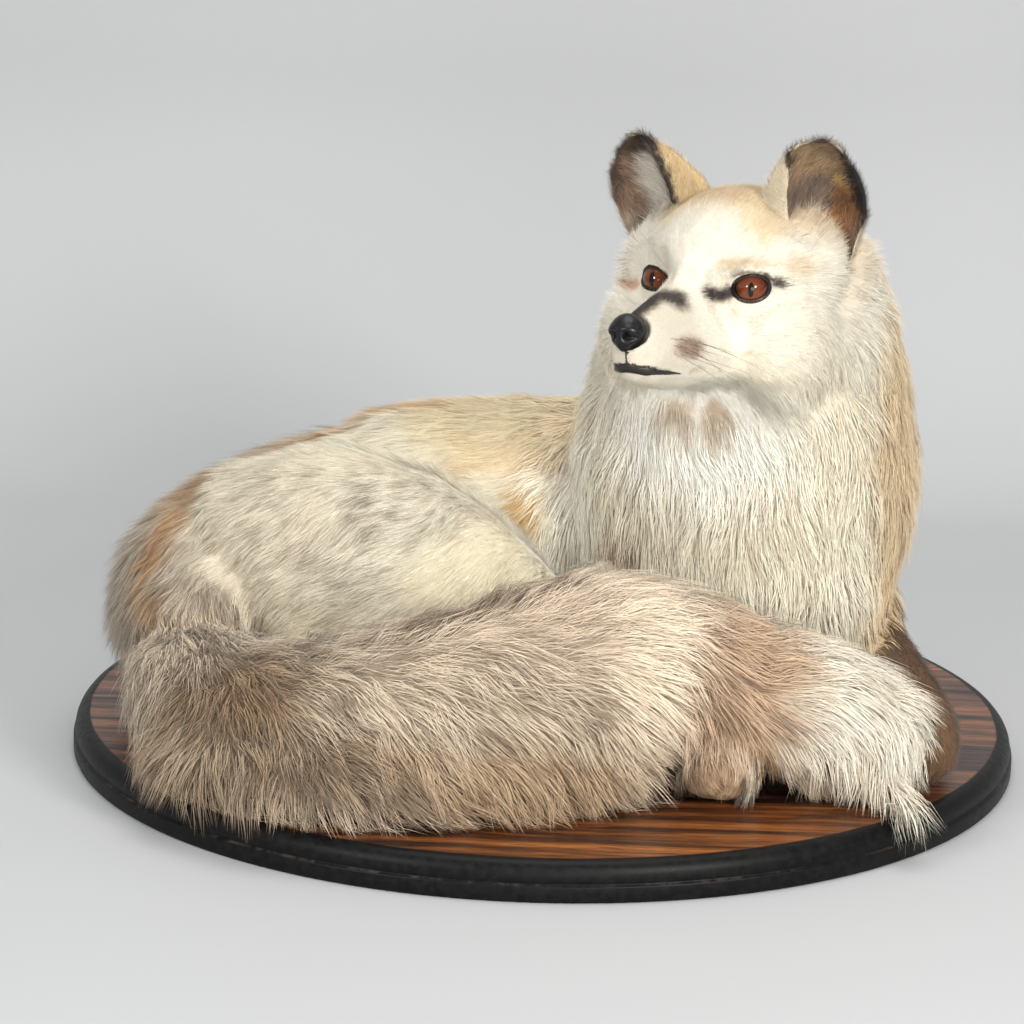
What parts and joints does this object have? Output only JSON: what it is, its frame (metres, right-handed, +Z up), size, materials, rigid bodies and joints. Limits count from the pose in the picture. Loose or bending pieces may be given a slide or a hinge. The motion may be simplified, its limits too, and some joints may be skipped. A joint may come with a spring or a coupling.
{
  "type": "taxidermy fox",
  "caption": "Mounted fox lying curled on a round wooden board, head raised and turned, tail wrapped along the front.",
  "frame": {"origin": "middle of the board's underside", "axes": "+Z up; the fox's chest is towards +X, its rump towards -X, its back towards +Y and its tail and face towards -Y"},
  "size_m": [0.56, 0.56, 0.3767],
  "materials": {
    "coat": "long fox fur, cream with ochre, grey-brown and dark brown parts",
    "eye": "polished glass eye, red-brown iris with a slit pupil",
    "nose": "black painted nose pad",
    "board": "dark red-brown stained wood with a black painted satin edge"
  },
  "bodies": {
    "root": {"plinth": "board", "head": "coat", "jaw": "coat", "neck": "coat", "chest": "coat", "belly": "coat", "rump": "coat", "thigh": "coat", "shank": "coat", "foreleg_left": "coat", "foreleg_right": "coat", "forepaw_left": "coat", "forepaw_right": "coat", "tail_1": "coat", "tail_2": "coat", "tail_3": "coat", "tail_4": "coat", "tail_5": "coat", "ear_left": "coat", "ear_right": "coat", "eye_left": "eye", "eye_right": "eye", "nose": "nose"}
  },
  "joints": []
}
